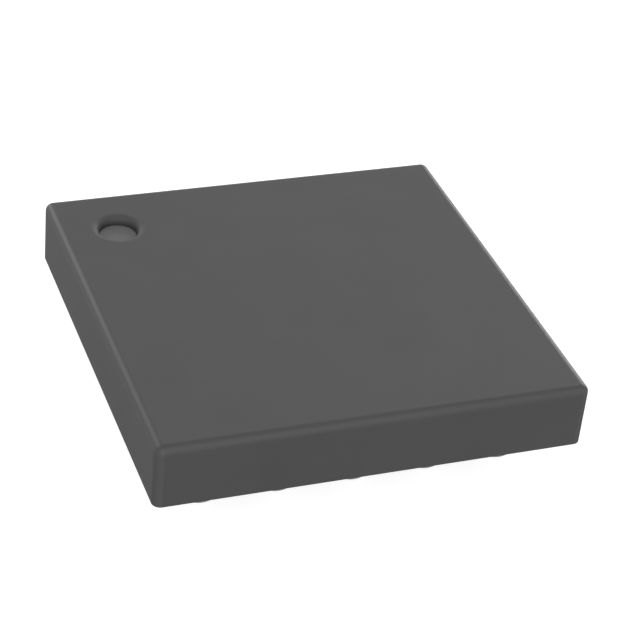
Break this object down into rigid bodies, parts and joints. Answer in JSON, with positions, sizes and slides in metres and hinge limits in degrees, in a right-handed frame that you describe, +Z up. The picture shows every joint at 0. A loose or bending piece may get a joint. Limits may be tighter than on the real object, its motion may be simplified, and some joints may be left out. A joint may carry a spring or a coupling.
{
  "type": "ball grid array chip",
  "caption": "Small square surface-mount chip package: dark moulded body with a round corner mark and a square grid of solder balls below.",
  "frame": {"origin": "centre of the ball grid, on the plane that the solder balls stand on", "axes": "+Z up through the moulded top; the marked corner is at -X, +Y; rows of balls run along X"},
  "size_m": [0.0044, 0.0044, 0.0012],
  "materials": {
    "mold_compound": "fine matte moulding compound",
    "solder_mask": "smooth green mask",
    "copper": "bare etched copper",
    "copper_plating": "plated copper",
    "laminate": "glass and resin laminate",
    "via_resin": "cured plugging resin",
    "die_adhesive": "silver-filled adhesive",
    "silicon": "polished silicon",
    "pad_metal": "sputtered aluminium",
    "gold_wire": "drawn gold",
    "solder": "reflowed tin, silver and copper solder"
  },
  "bodies": {
    "root": {"mold_body": "mold_compound", "top_solder_mask": "solder_mask", "top_copper": "copper", "substrate_core": "laminate", "via_barrels": "copper_plating", "via_plugs": "via_resin", "bottom_copper": "copper", "bottom_solder_mask": "solder_mask", "die_attach": "die_adhesive", "die": "silicon", "bond_pads": "pad_metal", "bond_wire_n1": "gold_wire", "bond_wire_n2": "gold_wire", "bond_wire_n3": "gold_wire", "bond_wire_n4": "gold_wire", "bond_wire_n5": "gold_wire", "bond_wire_n6": "gold_wire", "bond_wire_e1": "gold_wire", "bond_wire_e2": "gold_wire", "bond_wire_e3": "gold_wire", "bond_wire_e4": "gold_wire", "bond_wire_e5": "gold_wire", "bond_wire_e6": "gold_wire", "bond_wire_s1": "gold_wire", "bond_wire_s2": "gold_wire", "bond_wire_s3": "gold_wire", "bond_wire_s4": "gold_wire", "bond_wire_s5": "gold_wire", "bond_wire_s6": "gold_wire", "bond_wire_w1": "gold_wire", "bond_wire_w2": "gold_wire", "bond_wire_w3": "gold_wire", "bond_wire_w4": "gold_wire", "bond_wire_w5": "gold_wire", "bond_wire_w6": "gold_wire", "ball_a1": "solder", "ball_a2": "solder", "ball_a3": "solder", "ball_a4": "solder", "ball_a5": "solder", "ball_b1": "solder", "ball_b2": "solder", "ball_b3": "solder", "ball_b4": "solder", "ball_b5": "solder", "ball_c1": "solder", "ball_c2": "solder", "ball_c3": "solder", "ball_c4": "solder", "ball_c5": "solder", "ball_d1": "solder", "ball_d2": "solder", "ball_d3": "solder", "ball_d4": "solder", "ball_d5": "solder", "ball_e1": "solder", "ball_e2": "solder", "ball_e3": "solder", "ball_e4": "solder", "ball_e5": "solder"}
  },
  "joints": []
}
